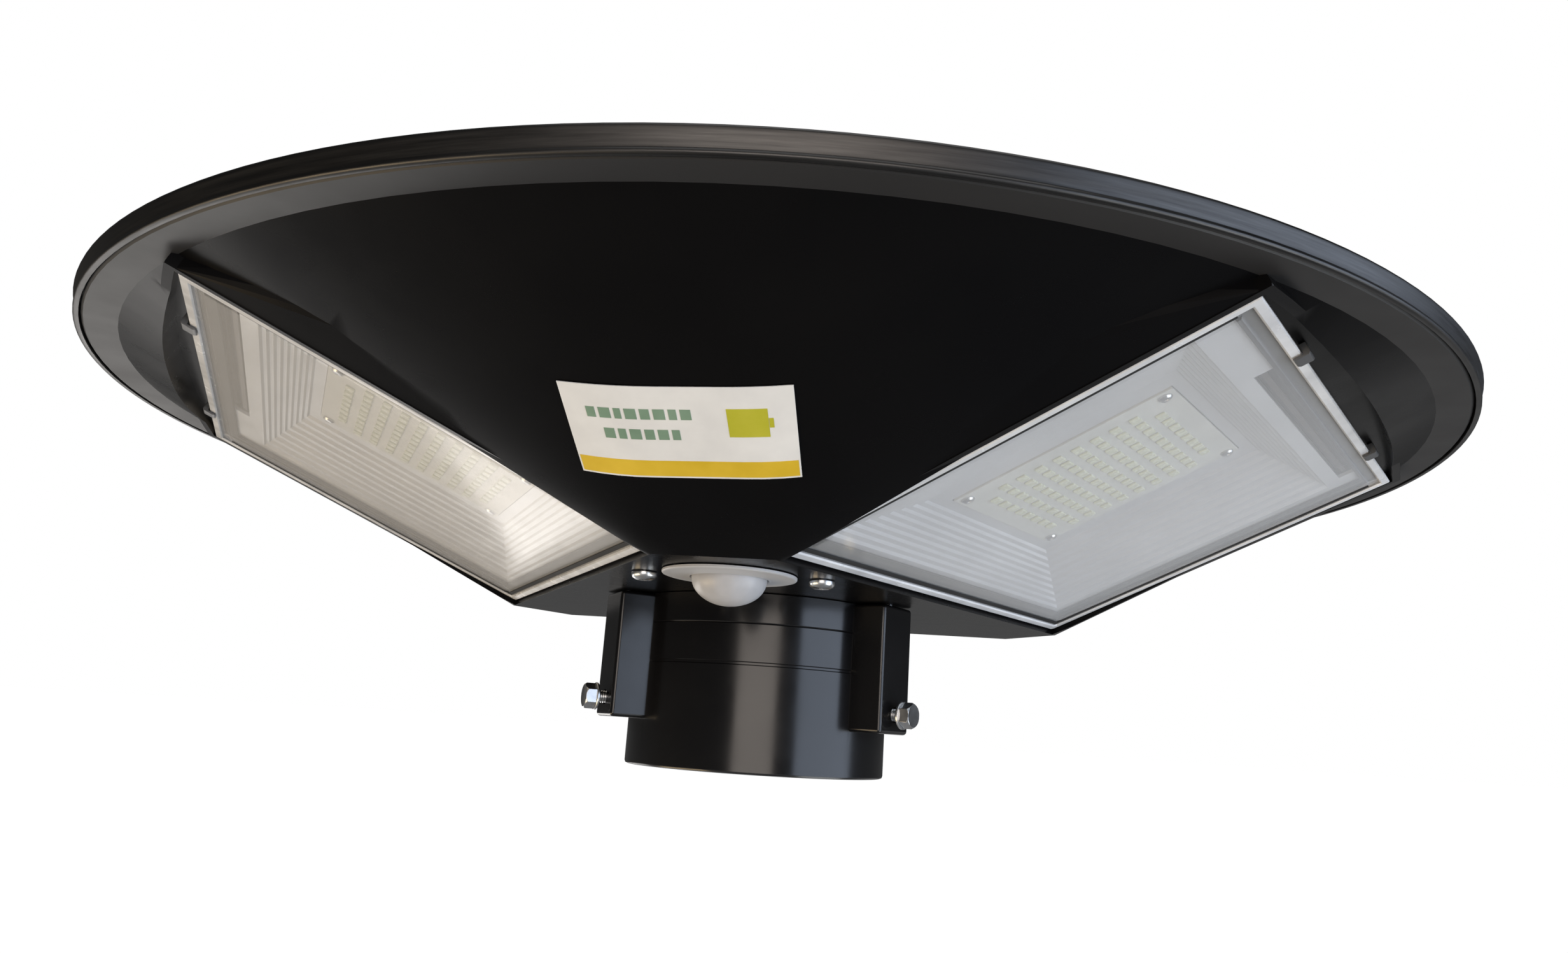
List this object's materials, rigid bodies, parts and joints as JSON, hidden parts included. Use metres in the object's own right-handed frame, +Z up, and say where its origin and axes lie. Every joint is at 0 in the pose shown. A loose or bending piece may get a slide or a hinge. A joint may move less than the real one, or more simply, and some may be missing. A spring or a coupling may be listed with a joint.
{
  "type": "solar street lamp",
  "caption": "Round all-in-one solar street lamp: panel on top, dish housing with slanted LED modules, motion-sensor dome and a clamp collar for a pole.",
  "frame": {"origin": "centre of the pole collar's bottom ring, which is the bottom centre of the bounding box", "axes": "+Z up through the pole collar towards the solar panel; the side with the label and the sensor dome faces -Y"},
  "size_m": [0.43, 0.43, 0.113],
  "materials": {
    "housing_black": "gloss black moulded plastic",
    "collar_black": "gloss black",
    "frame_metal": "dark anodised",
    "panel_glass": "clear tempered",
    "silicon": "dark blue coated wafers",
    "backsheet": "white film",
    "rubber": "matt black",
    "clear_cover": "clear polycarbonate",
    "reflector": "metallised light grey",
    "led_board": "white solder mask with yellow LED packages",
    "circuit_green": "green solder mask",
    "steel": "zinc plated",
    "brass": "turned",
    "sensor_lens": "translucent white",
    "sensor_bezel": "light grey",
    "black_plastic": "fine grain",
    "clip_grey": "grey, fine grain",
    "cell_wrap": "blue shrink sleeve over the cell",
    "button_rubber": "matt",
    "label_film": "coated white sticker with a yellow band",
    "lead_insulation": "smooth insulation"
  },
  "bodies": {
    "lamp": {"lower_housing": "housing_black", "rim_frame": "frame_metal", "panel_glass": "panel_glass", "solar_cells": "silicon", "panel_backsheet": "backsheet", "rim_seal": "rubber", "junction_box": "black_plastic", "led_cover_1": "clear_cover", "led_cover_2": "clear_cover", "led_cover_3": "clear_cover", "led_gasket_1": "rubber", "led_gasket_2": "rubber", "led_gasket_3": "rubber", "reflector_tray_1": "reflector", "reflector_tray_2": "reflector", "reflector_tray_3": "reflector", "led_board_1": "led_board", "led_board_2": "led_board", "led_board_3": "led_board", "cover_clip_1a": "clip_grey", "cover_clip_1b": "clip_grey", "cover_clip_2a": "clip_grey", "cover_clip_2b": "clip_grey", "cover_clip_3a": "clip_grey", "cover_clip_3b": "clip_grey", "pole_collar": "collar_black", "clamp_insert_1": "brass", "clamp_insert_2": "brass", "clamp_insert_3": "brass", "collar_screw_1": "steel", "collar_screw_2": "steel", "collar_screw_3": "steel", "backing_plate": "steel", "bracket_screw_1": "steel", "bracket_screw_2": "steel", "sensor_bezel": "sensor_bezel", "sensor_lens": "sensor_lens", "sensor_board": "circuit_green", "switch_body": "black_plastic", "switch_nut": "steel", "battery_tray": "black_plastic", "battery_cell_1": "cell_wrap", "battery_cell_2": "cell_wrap", "battery_cell_3": "cell_wrap", "battery_strap": "black_plastic", "controller_bracket": "black_plastic", "controller_board": "circuit_green", "panel_lead": "lead_insulation", "battery_lead": "lead_insulation", "led_lead_1": "lead_insulation", "led_lead_2": "lead_insulation", "led_lead_3": "lead_insulation", "sensor_lead": "lead_insulation", "switch_lead": "lead_insulation", "rating_label": "label_film"},
    "bolt_right": {"clamp_bolt_1": "steel"},
    "bolt_back": {"clamp_bolt_2": "steel"},
    "bolt_left": {"clamp_bolt_3": "steel"},
    "button": {"power_button": "button_rubber"}
  },
  "joints": [
    {"name": "bolt_right_travel", "type": "slide", "parent": "lamp", "child": "bolt_right", "axis": [-0.866, 0.5, 0], "range_m": [-0.006, 0.0023]},
    {"name": "bolt_back_travel", "type": "slide", "parent": "lamp", "child": "bolt_back", "axis": [0, -1, 0], "range_m": [-0.006, 0.0023]},
    {"name": "bolt_left_travel", "type": "slide", "parent": "lamp", "child": "bolt_left", "axis": [0.866, 0.5, 0], "range_m": [-0.006, 0.0023]},
    {"name": "button_press", "type": "slide", "parent": "lamp", "child": "button", "axis": [0, 0, 1], "range_m": [0, 0.002], "stiffness_N_per_m": 300, "springref_m": -0.001}
  ]
}
